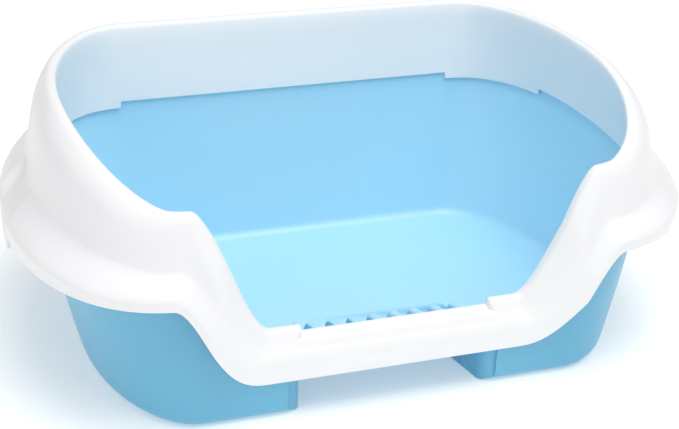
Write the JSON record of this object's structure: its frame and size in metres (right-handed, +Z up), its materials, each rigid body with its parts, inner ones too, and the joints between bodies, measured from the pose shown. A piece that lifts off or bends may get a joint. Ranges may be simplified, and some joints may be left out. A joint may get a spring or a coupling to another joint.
{
  "type": "open cat litter box",
  "caption": "Deep tray with a low front entry, ribbed step and finger recess, under a high lift-off splash guard whose skirt covers the rim.",
  "frame": {"origin": "on the floor, under the middle of the box", "axes": "+Z up, front entry towards -Y, +X to the right of a person facing the entry"},
  "size_m": [0.558, 0.3686, 0.216],
  "materials": {
    "tray_plastic": "semi-gloss moulded",
    "guard_plastic": "semi-gloss moulded"
  },
  "bodies": {
    "pan": {"tray": "tray_plastic"},
    "guard": {"splash_guard": "guard_plastic"}
  },
  "joints": [
    {"name": "guard_lift", "type": "slide", "parent": "pan", "child": "guard", "axis": [0, 0, 1], "range_m": [0, 0.16]}
  ]
}
